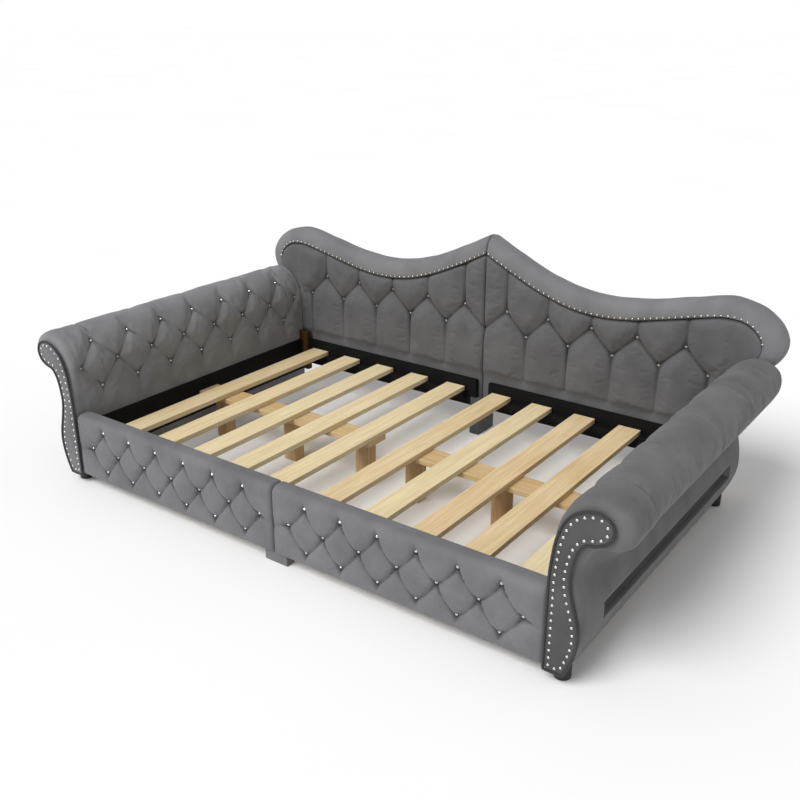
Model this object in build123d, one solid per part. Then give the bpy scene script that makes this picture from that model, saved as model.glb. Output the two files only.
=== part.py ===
from build123d import *
import os

# Upholstered daybed for a 1200 x 2000 mm mattress: camel back, scroll arms, slatted base.
# Millimetres, +Z up, +X to the right, +Y to the back; the origin is on the floor, in the middle.
# Every outline below is for the right-hand half, as (distance outward, height).

# Overall sizes
clear_length = 2000.0        # between the arms, where the mattress lies
overall_depth = 1428.0       # from the arm welts to the back of the rim
floor_gap = 42.0             # under the arms and the front rails
half_length = clear_length / 2
front_limit = -overall_depth / 2
rear_limit = overall_depth / 2
seam_gap = 0.5               # each half stops this far from the middle

# Arms
fascia_front = front_limit + 4
fascia_thickness = 18.0
arm_front = fascia_front + fascia_thickness
arm_rear = 598.0
welt_width = 6.0
welt_depth = 8.0
upright_inner = 30.0         # the arm's upright board, measured outward from its inner face
upright_outer = 50.0
upright_top = 505.0
base_plank_width = 58.0
base_plank_thickness = 18.0
arm_frame_rear_inset = 8.0
roll_core_end = 150.0
roll_core_levels = (480.0, 525.0)
slot_height = 53.0
slot_bottom = 153.0
slot_front = -557.0
slot_rear = 495.0
slot_back = 72.0             # its inner wall
slot_mouth = 110.0           # beyond the belly's widest place

# Back
back_front = 604.0
pad_rear = 650.0
panel_thickness = 18.0
cover_front = 704.0
rim_front = 600.0
back_bottom = 132.0
back_half_width = 1060.0
batten_levels = (132.0, 350.0, 548.0)
batten_height = 60.0
stile_width = 30.0
cover_thickness = 4.0

# Front rails
rail_front = -706.0
rail_rear = -645.0
rail_top = 290.0
rail_board_front = -680.0
rail_board_rear = -655.0
rail_board_top = 280.0
rail_board_inset = 10.0
rail_end = 999.5

# Base
slat_top = 215.0
slat_thickness = 20.0
slat_width = 91.0
slat_pitch = 190.5
slat_rear = 576.0
first_slat = 67.5            # inner edge of the slat beside the middle
slat_bottom = slat_top - slat_thickness
board_top = 250.0
board_bottom = 100.0
board_thickness = 15.0
board_rear = 568.0
rear_rail_front = 580.0
rear_rail_start = 46.0
rear_rail_left_start = 15.0
rear_rail_end = 950.0
rear_leg_range = (-42.0, 5.0)
rear_leg_top = 170.0
post_width = 48.0
post_depth = 28.0
post_top = 288.0
ledge_height = 30.0
ledge_depth = 30.0
ledge_start = 60.0
ledge_end = 940.0
support_width = 105.0
support_centre = -47.5
leg_size = (58.0, 55.0)
leg_front = -82.0
leg_places = (118.0, 490.0, 880.0)
front_leg_half_width = 49.0
front_leg_depths = (-696.0, -658.0)
glide_radius = 25.0
glide_place = 1042.0
glide_depths = (-664.0, 565.0)
support_inner_end = 65.0

# Small parts
nail_radius = 5.0
nail_height = 2.5
nail_pitch = 24.0
nail_inset = 13.0
button_radius = 7.0
button_height = 4.0
button_clearance = 0.6
bolt_radius = 4.0
bolt_head_radius = 8.0
bolt_head_height = 4.0
side_bolt_level = 128.0
rear_bolt_level = 157.0
bracket_length = 40.0
bracket_thickness = 3.0
bracket_levels = (110.0, 160.0)

# The padded arm: up the inner face and over the roll, straight down to the crease, out again over the belly.
arm_inner_line = [(0, floor_gap), (0, 380)]
arm_roll_curve = [
    (0, 380), (6, 478), (30, 529), (66, 565), (119, 584), (165, 575), (197, 551), (208, 516), (204, 480),
    (188, 445),
]
arm_crease = (84, 284)
arm_belly_curve = [arm_crease, (97, 234), (103, 183), (99, 145), (90, 110), (77, 74), (62, floor_gap)]
# The scroll-shaped front panel, a little smaller than the padded arm.
fascia_bottom = 38.0
fascia_inner_line = [(5, fascia_bottom), (5, 330)]
fascia_curve = [
    (5, 330), (14, 420), (26, 471), (46, 514), (80, 543), (120, 555), (153, 546), (169, 513),
    (157, 482), (128, 465), (98, 456), (79, 432), (64, 380), (60, 330), (72, 270), (90, 208),
    (95, 160), (84, 100), (60, fascia_bottom),
]
# The back: the outer edge of its padded rim, and the nailed line along the rim's inner edge.
rim_outer_curve = [
    (seam_gap, 868), (140, 799), (290, 735), (480, 696), (680, 708), (860, 746), (1010, 771), (1110, 744),
    (1175, 690), (1199, 635), (1185, 580), (1140, 528), (back_half_width, 505),
]
rim_inner_curve = [
    (seam_gap, 795), (125, 732), (257, 674), (388, 634), (520, 622), (650, 634), (780, 662), (900, 690),
    (985, 706), (1060, 697), (1108, 660), (1124, 615), (1105, 572), (back_half_width, 548),
]

# Tufting, as button places
arm_button_pitch = 172.0
arm_rows = ((363.0, 0.5, 7), (457.0, 0.0, 8), (543.0, 0.5, 7))
arm_first_button = -648.0
rail_button_pitch = 144.0
rail_rows = ((245.0, 136.0, 6), (166.0, 64.0, 7), (85.0, 136.0, 6))
back_button_pitch = 188.0
back_lower_row = (475.0, 194.0, 5)
back_upper_row = (567.0, 101.0, 5)

parts = {}


def block(x_range, y_range, z_range):
    """A box between two limits on each axis."""
    size = [high - low for low, high in (x_range, y_range, z_range)]
    middle = [(high + low) / 2 for low, high in (x_range, y_range, z_range)]
    return Pos(*middle) * Box(*size)


def outline(curve, line_points, offset_x=0.0):
    """A closed outline in the XZ plane: one smooth curve, closed by straight lines."""
    smooth = Spline([(x + offset_x, 0, z) for x, z in curve])
    corners = [(x + offset_x, 0, z) for x, z in line_points]
    sides = [Line(a, b) for a, b in zip(corners, corners[1:])]
    return Face(Wire([smooth, *sides]))


def slab(face, low_y, high_y):
    """The outline as a slab between two depths."""
    return Solid.extrude(Pos(0, low_y, 0) * face, Vector(0, high_y - low_y, 0))


def rod(start, direction, radius, length):
    """A round rod from a point, along a direction."""
    return Plane(origin=start, z_dir=direction) * Cylinder(
        radius, length, align=(Align.CENTER, Align.CENTER, Align.MIN)
    )


def both_sides(name, right_piece):
    """Keeps a right-hand piece and its mirror image on the left."""
    parts[name + "_right"] = right_piece
    parts[name + "_left"] = mirror(right_piece, about=Plane.YZ)


def group(pieces):
    """Separate solids that share one node."""
    solids = [solid for piece in pieces for solid in piece.solids()]
    return Compound(children=solids)


def nail_row(wire, front):
    """Domed nail heads spaced evenly along a wire, standing on the face at this depth."""
    count = round(wire.length / nail_pitch)
    heads = []
    for index in range(count):
        at = wire.position_at((index + 0.5) / count)
        seat = Plane(origin=(at.X, front, at.Z), z_dir=(0, -1, 0))
        heads.append(seat * Cone(nail_radius, nail_radius / 2, nail_height,
                                 align=(Align.CENTER, Align.CENTER, Align.MIN)))
    return group(heads)


def parallel_curve(curve, distance, steps=48):
    """A smooth curve that runs beside another one, outside the outline it belongs to."""
    points = []
    for index in range(steps + 1):
        tangent = curve % (index / steps)
        points.append(curve @ (index / steps) + Vector(-tangent.Z, 0, tangent.X) * distance)
    return Spline(points)


def roll_share(level):
    """How far along the roll curve, from 0 to 1, the inner face reaches a height."""
    low, high = 0.0, 0.5         # the top of the roll lies beyond half way
    for _ in range(40):
        middle = (low + high) / 2
        if (arm_roll @ middle).Z < level:
            low = middle
        else:
            high = middle
    return low


# Bolts: through each side board into the arm's upright, and through each rear rail into the back panel.
side_bolt_places = (-450.0, 0.0, 420.0)
rear_bolt_places = (160.0, 480.0, 800.0)
side_bolt_start = half_length - board_thickness
side_bolt_length = board_thickness + upright_outer
rear_bolt_length = pad_rear + panel_thickness - rear_rail_front
side_shanks = [
    rod((side_bolt_start, y, side_bolt_level), (1, 0, 0), bolt_radius, side_bolt_length)
    for y in side_bolt_places
]
rear_shanks = [
    rod((x, rear_rail_front, rear_bolt_level), (0, 1, 0), bolt_radius, rear_bolt_length)
    for x in rear_bolt_places
]
side_heads = [
    rod((side_bolt_start, y, side_bolt_level), (-1, 0, 0), bolt_head_radius, bolt_head_height)
    for y in side_bolt_places
]
rear_heads = [
    rod((x, rear_rail_front, rear_bolt_level), (0, -1, 0), bolt_head_radius, bolt_head_height)
    for x in rear_bolt_places
]
right_bolts = [
    shank + head for shank, head in zip(side_shanks + rear_shanks, side_heads + rear_heads)
]
parts["frame_bolts"] = group(right_bolts + [mirror(bolt, about=Plane.YZ) for bolt in right_bolts])

# Arm frame: base plank, upright board and the core of the roll.
arm_span = (arm_front, arm_rear - arm_frame_rear_inset)
plank_x = (half_length + 2, half_length + 2 + base_plank_width)
base_plank = block(plank_x, arm_span, (floor_gap, floor_gap + base_plank_thickness))
upright_x = (half_length + upright_inner, half_length + upright_outer)
upright = block(upright_x, arm_span, (floor_gap, upright_top))
roll_core = block((half_length + upright_outer, half_length + roll_core_end), arm_span, roll_core_levels)
arm_frame = base_plank + upright + roll_core
both_sides("arm_frame", arm_frame.solids()[0] - side_shanks)

# Arm padding and cover, with the long slot low on the outside.
arm_roll = Spline([(half_length + x, 0, z) for x, z in arm_roll_curve])
arm_belly = Spline([(half_length + x, 0, z) for x, z in arm_belly_curve])
arm_bottom, arm_inner_top = [(half_length + x, 0, z) for x, z in arm_inner_line]
arm_face = Face(Wire([
    arm_roll, Line(arm_roll @ 1, arm_belly @ 0), arm_belly,
    Line(arm_belly @ 1, arm_bottom), Line(arm_bottom, arm_inner_top),
]))
slot = block(
    (half_length + slot_back, half_length + slot_mouth),
    (slot_front, slot_rear),
    (slot_bottom, slot_bottom + slot_height),
)
arm_pad = slab(arm_face, arm_front, arm_rear) - arm_frame - slot
both_sides("arm_pad", arm_pad - side_shanks)

# Scroll panel on the front of the arm, its welt and its nail heads.
fascia_face = outline(fascia_curve, [fascia_curve[-1], *fascia_inner_line], half_length)
both_sides("arm_fascia", slab(fascia_face, fascia_front, arm_front))
fascia_edge = Spline([(half_length + x, 0, z) for x, z in fascia_curve])
welt_edge = parallel_curve(fascia_edge, welt_width)
welt_bottom = fascia_bottom - welt_width
welt_start = welt_edge @ 0
welt_end = welt_edge @ 1
welt_face = Face(Wire([
    welt_edge,
    Line(welt_end, (welt_end.X, 0, welt_bottom)),
    Line((welt_end.X, 0, welt_bottom), (welt_start.X, 0, welt_bottom)),
    Line((welt_start.X, 0, welt_bottom), welt_start),
]))
welt_range = (front_limit, front_limit + welt_depth)
both_sides("arm_welt", slab(welt_face, *welt_range) - slab(fascia_face, *welt_range))
both_sides("arm_nailheads", nail_row(offset(fascia_face, -nail_inset).face().outer_wire(), fascia_front))

# Buttons of the arm's inner face, in three staggered rows that follow the face round the roll.
arm_buttons = []
for level, first, count in arm_rows:
    if level > arm_inner_line[-1][1]:
        share = roll_share(level)
        tangent = arm_roll % share
        start = arm_roll @ share
    else:
        tangent = Vector(0, 0, 1)
        start = Vector(half_length, 0, level)
    normal = Vector(-tangent.Z, 0, tangent.X)
    for index in range(count):
        along = arm_first_button + (first + index) * arm_button_pitch
        arm_buttons.append(
            rod(start + normal * button_clearance + Vector(0, along, 0), normal, button_radius, button_height)
        )
both_sides("arm_buttons", group(arm_buttons))

# Back panel: plywood, with three battens and an end stile behind it.
lower_corners = [(back_half_width, back_bottom), (seam_gap, back_bottom)]
pad_face = outline(rim_inner_curve, [rim_inner_curve[-1], *lower_corners, rim_inner_curve[0]])
panel = slab(pad_face, pad_rear, pad_rear + panel_thickness)
batten_range = (pad_rear + panel_thickness, cover_front)
for level in batten_levels:
    panel += block((seam_gap, back_half_width), batten_range, (level, level + batten_height))
stile_range = (batten_levels[0], batten_levels[-1])
panel += block((back_half_width - stile_width, back_half_width), batten_range, stile_range)
both_sides("back_frame", panel.solids()[0] - rear_shanks)
both_sides("back_pad", slab(pad_face, back_front, pad_rear) - rear_shanks)
both_sides("back_cover", slab(pad_face, cover_front, cover_front + cover_thickness))

# Padded rim along the top and round the ear, with nail heads along its inner edge.
rim_inner = Spline([(x, 0, z) for x, z in rim_inner_curve])
rim_outer = Spline([(x, 0, z) for x, z in rim_outer_curve])
rim_face = Face(Wire([
    rim_outer, Line(rim_outer @ 1, rim_inner @ 1), rim_inner, Line(rim_inner @ 0, rim_outer @ 0)
]))
both_sides("back_rim", slab(rim_face, rim_front, rear_limit))
rim_nail_line = Spline([(x, 0, z + nail_radius + 1) for x, z in rim_inner_curve[:-2]])
both_sides("back_nailheads", nail_row(rim_nail_line, rim_front))

# Buttons of the back, in two staggered rows.
back_buttons = []
for level, first, count in (back_lower_row, back_upper_row):
    for index in range(count):
        seat = (first + index * back_button_pitch, back_front, level)
        back_buttons.append(rod(seat, (0, -1, 0), button_radius, button_height))
both_sides("back_buttons", group(back_buttons))

# Front rail: a board wrapped in deep padding, open along its bottom edge.
rail_board = block(
    (seam_gap + rail_board_inset, rail_end - rail_board_inset),
    (rail_board_front, rail_board_rear),
    (floor_gap, rail_board_top),
)
rail_pad = block((seam_gap, rail_end), (rail_front, rail_rear), (floor_gap, rail_top))
both_sides("front_rail_board", rail_board)
both_sides("front_rail_pad", rail_pad - rail_board)
rail_buttons = []
for level, first, count in rail_rows:
    for index in range(count):
        seat = (first + index * rail_button_pitch, rail_front, level)
        rail_buttons.append(rod(seat, (0, -1, 0), button_radius, button_height))
both_sides("front_rail_buttons", group(rail_buttons))

# Boards and ledges round the inside of the frame.
ledge_z = (slat_bottom - ledge_height, slat_bottom)
board_inner = half_length - board_thickness
side_board = block((board_inner, half_length), (rail_rear, board_rear), (board_bottom, board_top))
both_sides("side_board", side_board - side_shanks)
rear_rail = block((rear_rail_start, rear_rail_end), (rear_rail_front, rim_front), (back_bottom, board_top))
leg_notch = block(
    (rear_leg_range[0] - seam_gap, 0), (rear_rail_front, rim_front), (back_bottom, rear_leg_top + seam_gap)
)
left_rail_x = (-rear_rail_end, -rear_rail_left_start)
left_rail = block(left_rail_x, (rear_rail_front, rim_front), (back_bottom, board_top))
parts["rear_rail_right"] = rear_rail - rear_shanks
parts["rear_rail_left"] = left_rail - leg_notch - [mirror(shank, about=Plane.YZ) for shank in rear_shanks]
front_ledge_y = (rail_rear, rail_rear + ledge_depth)
rear_ledge_y = (rear_rail_front - ledge_depth, rear_rail_front)
both_sides("front_slat_ledge", block((ledge_start, ledge_end), front_ledge_y, ledge_z))
both_sides("rear_slat_ledge", block((ledge_start, ledge_end), rear_ledge_y, ledge_z))
post = block(
    (half_length - post_width, half_length), (board_rear, board_rear + post_depth), (board_bottom, post_top)
)
both_sides("corner_post", post)

# Slats, numbered from the left.
slat_starts = [first_slat + index * slat_pitch for index in range(5)]
right_slats = [
    block((start, start + slat_width), (rail_rear, slat_rear), (slat_bottom, slat_top))
    for start in slat_starts
]
left_slats = [mirror(slat, about=Plane.YZ) for slat in reversed(right_slats)]
for number, slat in enumerate(left_slats + right_slats, start=1):
    parts[f"slat_{number:02d}"] = slat

# Boards under the middle of the slats, on three legs each.
support_y = (support_centre - support_width / 2, support_centre + support_width / 2)
support_bottom = slat_bottom - slat_thickness
support = block((support_inner_end, board_inner), support_y, (support_bottom, slat_bottom))
both_sides("centre_support", support)
leg_y = (leg_front, leg_front + leg_size[1])
support_legs = [
    block((x - leg_size[0] / 2, x + leg_size[0] / 2), leg_y, (0, support_bottom))
    for x in leg_places
]
both_sides("support_legs", group(support_legs))

# Legs where the halves meet: a block under the front seam, and a taller one that stands in front of the back.
front_leg_x = (-front_leg_half_width, front_leg_half_width)
parts["front_centre_leg"] = block(front_leg_x, front_leg_depths, (0, floor_gap))
rear_leg = block(rear_leg_range, (rear_rail_front, cover_front), (0, back_bottom))
rear_leg += block(rear_leg_range, (rear_rail_front, back_front), (back_bottom, rear_leg_top))
parts["rear_centre_leg"] = rear_leg

# Glide feet under the ends of the arms.
foot_places = [(x, y) for x in (-glide_place, glide_place) for y in glide_depths]
parts["glide_feet"] = group([rod((x, y, 0), (0, 0, 1), glide_radius, floor_gap) for x, y in foot_places])

# Steel angles that hold the front rails to the side boards.
bracket = block(
    (board_inner - bracket_length, board_inner), (rail_rear, rail_rear + bracket_thickness), bracket_levels
)
bracket += block(
    (board_inner - bracket_thickness, board_inner), (rail_rear, rail_rear + bracket_length), bracket_levels
)
parts["corner_brackets"] = group([bracket, mirror(bracket, about=Plane.YZ)])

os.makedirs("parts", exist_ok=True)
for name, piece in parts.items():
    export_step(piece, f"parts/{name}.step")
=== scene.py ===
import math

import bmesh
import bpy
import numpy as np
from mathutils import Matrix, Vector


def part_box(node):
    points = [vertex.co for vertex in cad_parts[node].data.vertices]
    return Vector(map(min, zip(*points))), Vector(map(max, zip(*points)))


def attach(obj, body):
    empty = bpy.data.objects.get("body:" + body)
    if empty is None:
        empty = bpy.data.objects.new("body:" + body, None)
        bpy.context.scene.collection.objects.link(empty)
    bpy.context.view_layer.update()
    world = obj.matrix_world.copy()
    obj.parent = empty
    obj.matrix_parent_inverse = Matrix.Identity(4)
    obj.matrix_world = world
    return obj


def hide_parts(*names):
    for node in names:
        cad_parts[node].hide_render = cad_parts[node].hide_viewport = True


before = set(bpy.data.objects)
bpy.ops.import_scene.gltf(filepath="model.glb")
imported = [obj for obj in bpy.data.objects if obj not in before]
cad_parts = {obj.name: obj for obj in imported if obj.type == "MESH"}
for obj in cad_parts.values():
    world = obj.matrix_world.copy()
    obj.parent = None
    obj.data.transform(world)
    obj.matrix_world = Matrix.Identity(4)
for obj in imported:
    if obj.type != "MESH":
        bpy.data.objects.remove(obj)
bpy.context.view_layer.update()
mm = 0.001


# ---- Studio ----
# A plain pale floor under a soft sky, one broad lamp high in front and a little to the left,
# and the camera above the right front corner.

def paint(hex_colour):
    """A linear colour from its sRGB hex value."""
    channels = [int(hex_colour[i:i + 2], 16) / 255 for i in (1, 3, 5)]
    return (*[c / 12.92 if c <= 0.04045 else ((c + 0.055) / 1.055) ** 2.4 for c in channels], 1.0)


def add_node(tree, kind, inputs=None, **settings):
    """Adds a node with its settings; an input given as a socket is linked, any other is set."""
    node = tree.nodes.new(kind)
    for name, value in settings.items():
        setattr(node, name, value)
    for name, value in (inputs or {}).items():
        if isinstance(value, bpy.types.NodeSocket):
            tree.links.new(value, node.inputs[name])
        else:
            node.inputs[name].default_value = value
    return node


def new_material(name):
    """An empty material: its tree, and its output node's surface socket."""
    material = bpy.data.materials.new(name)
    material.use_nodes = True
    material.node_tree.nodes.clear()
    output = add_node(material.node_tree, "ShaderNodeOutputMaterial")
    return material, material.node_tree, output.inputs["Surface"]


def floor_paint():
    """Matt white studio floor, rolled on: almost no gloss, a faint cloudiness."""
    material, tree, surface = new_material("floor_paint")
    place = add_node(tree, "ShaderNodeTexCoord").outputs["Object"]
    clouds = add_node(tree, "ShaderNodeTexNoise", {"Vector": place, "Scale": 0.6, "Detail": 2.0})
    tint = add_node(tree, "ShaderNodeValToRGB", {"Fac": clouds.outputs["Fac"]})
    tint.color_ramp.elements[0].color = paint("#f3f3f3")
    tint.color_ramp.elements[1].color = paint("#f9f9f9")
    shader = add_node(tree, "ShaderNodeBsdfPrincipled", {
        "Base Color": tint.outputs["Color"], "Roughness": 0.9, "Specular IOR Level": 0.1
    })
    tree.links.new(shader.outputs["BSDF"], surface)
    return material


floor_half = 80.0
floor_corners = [(x * floor_half, y * floor_half, 0) for x, y in ((-1, -1), (1, -1), (1, 1), (-1, 1))]
floor_mesh = bpy.data.meshes.new("floor")
floor_mesh.from_pydata(floor_corners, [], [(0, 1, 2, 3)])
floor = bpy.data.objects.new("floor", floor_mesh)
bpy.context.scene.collection.objects.link(floor)
floor_mesh.materials.append(floor_paint())

# The sky is white at the horizon and greyer overhead, so that the floor runs into it without an edge.
sky = bpy.data.worlds.new("soft_sky")
sky.use_nodes = True
sky_way = add_node(sky.node_tree, "ShaderNodeTexCoord").outputs["Generated"]
sky_height = add_node(sky.node_tree, "ShaderNodeSeparateXYZ", {"Vector": sky_way}).outputs["Z"]
sky_fade = add_node(sky.node_tree, "ShaderNodeMapRange", {
    "Value": sky_height, "From Min": 0.03, "From Max": 0.2, "To Min": 1.0, "To Max": 0.5
})
sky.node_tree.links.new(sky_fade.outputs["Result"], sky.node_tree.nodes["Background"].inputs["Strength"])
sky.node_tree.nodes["Background"].inputs["Color"].default_value = paint("#ffffff")
bpy.context.scene.world = sky
bpy.context.scene.view_settings.view_transform = "Standard"

key = bpy.data.lights.new("key_lamp", "SUN")
key.energy = 2.5
key.angle = math.radians(35)
key_holder = bpy.data.objects.new("key_lamp", key)
key_azimuth, key_elevation = math.radians(-15), math.radians(48)
key_holder.rotation_euler = Vector((
    -math.sin(key_azimuth) * math.cos(key_elevation),
    math.cos(key_azimuth) * math.cos(key_elevation),
    -math.sin(key_elevation),
)).to_track_quat("-Z", "Y").to_euler()
bpy.context.scene.collection.objects.link(key_holder)

view_azimuth, view_elevation = math.radians(35.93), math.radians(22.2)
camera = bpy.data.objects.new("camera", bpy.data.cameras.new("camera"))
camera.data.sensor_width = 36.0
camera.data.lens = 42.95
camera.location = (1.9454, -2.6765, 1.706)
toward_camera = Vector((
    math.sin(view_azimuth) * math.cos(view_elevation),
    -math.cos(view_azimuth) * math.cos(view_elevation),
    math.sin(view_elevation),
))
camera.rotation_euler = (-toward_camera).to_track_quat("-Z", "Y").to_euler()
bpy.context.scene.collection.objects.link(camera)
bpy.context.scene.camera = camera


# ---- Front rails ----
# Two boards wrapped in thick foam and short-pile velvet. Buttons are pulled through to the board in
# three staggered rows, and the slack between them is folded into slanting pleats.

def upholstery_velvet(name, darker_tone, lighter_tone):
    """Grey polyester velvet, short pile over a woven ground: matt, with a soft sheen where the pile
    leans away, cloudy where hands have brushed it, and painted darker in a fold as painted shade.
    Each piece's tone is set lighter or darker as painted light and shade. The pile is drawn at 2 mm,
    coarser than real."""
    material, tree, surface = new_material(name)
    place = add_node(tree, "ShaderNodeTexCoord").outputs["Object"]
    clouds = add_node(tree, "ShaderNodeTexNoise", {"Vector": place, "Scale": 1 / (120 * mm), "Detail": 3.0})
    pile = add_node(tree, "ShaderNodeTexNoise", {"Vector": place, "Scale": 1 / (2 * mm), "Detail": 2.0})
    fibres = add_node(tree, "ShaderNodeMix", {0: 0.4, 2: clouds.outputs["Fac"], 3: pile.outputs["Fac"]})
    tint = add_node(tree, "ShaderNodeValToRGB", {"Fac": fibres.outputs[0]})
    # The two tones set the piece's level, painted lighter or darker per piece as painted light and shade.
    tint.color_ramp.elements[0].position = 0.38
    tint.color_ramp.elements[0].color = paint(darker_tone)
    tint.color_ramp.elements[1].position = 0.62
    tint.color_ramp.elements[1].color = paint(lighter_tone)
    # Painted shade: deep in the folds the colour is mixed towards #202022.
    fold = add_node(tree, "ShaderNodeAttribute", attribute_name="fold")
    fold_shade = add_node(tree, "ShaderNodeMapRange", {
        "Value": fold.outputs["Fac"], "From Min": 0.36, "From Max": 0.83
    })
    cover = add_node(tree, "ShaderNodeMix", {
        0: fold_shade.outputs["Result"], 6: tint.outputs["Color"], 7: paint("#202022"),
    }, data_type="RGBA")
    bump = add_node(tree, "ShaderNodeBump", {
        "Height": fibres.outputs[0], "Strength": 0.25, "Distance": 0.6 * mm
    })
    shader = add_node(tree, "ShaderNodeBsdfPrincipled", {
        "Base Color": cover.outputs[2],
        "Roughness": 0.85,
        "Sheen Weight": 0.12,
        "Sheen Roughness": 0.45,
        "Specular IOR Level": 0.2,
        "Normal": bump.outputs["Normal"],
    })
    tree.links.new(shader.outputs["BSDF"], surface)
    return material


def make_piece(name, points, faces, material, smooth=True):
    """A mesh piece from points in millimetres, with its faces turned outward."""
    mesh = bpy.data.meshes.new(name)
    mesh.from_pydata((np.asarray(points, float) * mm).tolist(), [], faces)
    shape = bmesh.new()
    shape.from_mesh(mesh)
    bmesh.ops.recalc_face_normals(shape, faces=shape.faces)
    shape.to_mesh(mesh)
    shape.free()
    mesh.polygons.foreach_set("use_smooth", [smooth] * len(mesh.polygons))
    mesh.materials.append(material)
    piece = bpy.data.objects.new(name, mesh)
    bpy.context.scene.collection.objects.link(piece)
    return piece


def fix(piece, slot, *nodes):
    """The piece stands for these CAD nodes: it is hung under the root body and the nodes are hidden. The
    slot is not used.
    """
    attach(piece, "root")
    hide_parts(*nodes)
    return piece


def loft(rings):
    """Points and faces of a skin over closed rings, with a flat face over each end."""
    stations, count = rings.shape[:2]
    index = np.arange(stations * count).reshape(stations, count)
    here, there = index[:-1], index[1:]
    sides = np.stack([here, np.roll(here, -1, 1), np.roll(there, -1, 1), there], -1).reshape(-1, 4)
    return rings.reshape(-1, 3), [*sides.tolist(), index[0].tolist(), index[-1][::-1].tolist()]


def outward(rings):
    """The outward direction at each point of a lofted skin."""
    along = np.gradient(rings, axis=0)
    around = np.roll(rings, -1, 1) - np.roll(rings, 1, 1)
    normal = np.cross(along, around)
    normal /= np.maximum(np.linalg.norm(normal, axis=2, keepdims=True), 1e-9)
    away = rings - rings.mean(axis=1, keepdims=True)
    return normal if (normal * away).sum() > 0 else -normal


def steps_between(low, high, spacing):
    """Evenly spaced values from low to high."""
    return np.linspace(low, high, max(2, round((high - low) / spacing) + 1))


def pleat(start, end, sag=0.0, end_share=1.0, middle_share=1.0):
    """A fold between two places on the flat cloth: its points, and its share of the full depth at each."""
    t = np.linspace(0, 1, 9)
    line = np.outer(1 - t, start) + np.outer(t, end)
    line[:, 1] -= sag * np.sin(math.pi * t)
    share = (1 - t) + t * end_share
    return line, share * (1 - (1 - middle_share) * np.sin(math.pi * t))


def tuft_depth(along, around, pleats, reach):
    """How far each place of the flat cloth is drawn in, as a share of the depth at a button.
    Between folds the padding swells in a round, so it drops steeply at the fold itself."""
    place = np.stack([along.ravel(), around.ravel()], -1)
    sharpness = 5                # where folds meet, the deeper one shows
    total = np.zeros(len(place))
    for line, share in pleats:
        low, high = line.min(0) - reach, line.max(0) + reach
        near = np.all((place > low) & (place < high), axis=1)
        drawn = np.zeros(near.sum())
        for a, b, from_share, to_share in zip(line, line[1:], share, share[1:]):
            span = b - a
            t = np.clip((place[near] - a) @ span / (span @ span), 0, 1)
            gap = np.linalg.norm(place[near] - a - t[:, None] * span, axis=1) / reach
            rise = 1 - np.sqrt(1 - np.clip(1 - gap, 0, 1) ** 2)
            drawn = np.maximum(drawn, (from_share + (to_share - from_share) * t) * rise)
        total[near] += drawn ** sharpness
    return (total ** (1 / sharpness)).reshape(along.shape)


def button_creases(along, around, buttons, reach):
    """Small creases that run out from each button like rays, as a share of their height."""
    ray_count, turn_per_button = 7, 1.7
    creases = np.zeros(along.shape)
    for number, (x, z) in enumerate(buttons):
        dx, dz = along - x, around - z
        radius = np.hypot(dx, dz)
        rays = np.sin(ray_count * np.arctan2(dz, dx) + turn_per_button * number)
        creases += rays * np.exp(-((radius - 0.35 * reach) / (0.25 * reach)) ** 2)
    return creases


def mark_folds(piece, folded):
    """Keeps how deep each point lies in a fold, for the velvet's painted shade in the folds."""
    attribute = piece.data.attributes.new("fold", "FLOAT", "POINT")
    attribute.data.foreach_set("value", folded.astype(np.float32).ravel())


def settle(piece, hold, cap, pressure=4.0, spare=0.02, frames=20):
    """Lets the cover take its own shape: cloth with a little spare length, blown out from inside,
    held where it is stitched, folded or nailed. No point may move further than the cap."""
    start = np.empty(len(piece.data.vertices) * 3)
    piece.data.vertices.foreach_get("co", start)
    group = piece.vertex_groups.new(name="held")
    levels = 10
    for level in range(1, levels + 1):
        members = np.flatnonzero(np.round(hold * levels) == level)
        if len(members):
            group.add(members.tolist(), level / levels, "REPLACE")
    cloth = piece.modifiers.new("settle", "CLOTH")
    cloth.settings.quality = 4
    cloth.settings.mass = 0.3
    cloth.settings.tension_stiffness = 12
    cloth.settings.compression_stiffness = 12
    cloth.settings.shear_stiffness = 6
    cloth.settings.bending_stiffness = 0.6
    cloth.settings.use_pressure = True
    cloth.settings.uniform_pressure_force = pressure
    cloth.settings.shrink_min = -spare
    cloth.settings.effector_weights.gravity = 0
    cloth.settings.vertex_group_mass = "held"
    cloth.settings.pin_stiffness = 1
    cloth.collision_settings.use_collision = False
    cloth.point_cache.frame_start = 1
    cloth.point_cache.frame_end = frames
    for number in range(1, frames + 1):
        bpy.context.scene.frame_set(number)
    settled = piece.evaluated_get(bpy.context.evaluated_depsgraph_get())
    end = np.empty_like(start)
    settled.data.vertices.foreach_get("co", end)
    piece.modifiers.remove(cloth)
    piece.vertex_groups.clear()
    bpy.context.scene.frame_set(1)
    move = (end - start).reshape(-1, 3)
    length = np.linalg.norm(move, axis=1, keepdims=True)
    move *= np.minimum(1, cap / np.maximum(length, 1e-9)) * (1 - np.clip(hold, 0, 1))[:, None]
    piece.data.vertices.foreach_set("co", start + move.ravel())
    piece.data.update()


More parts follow.
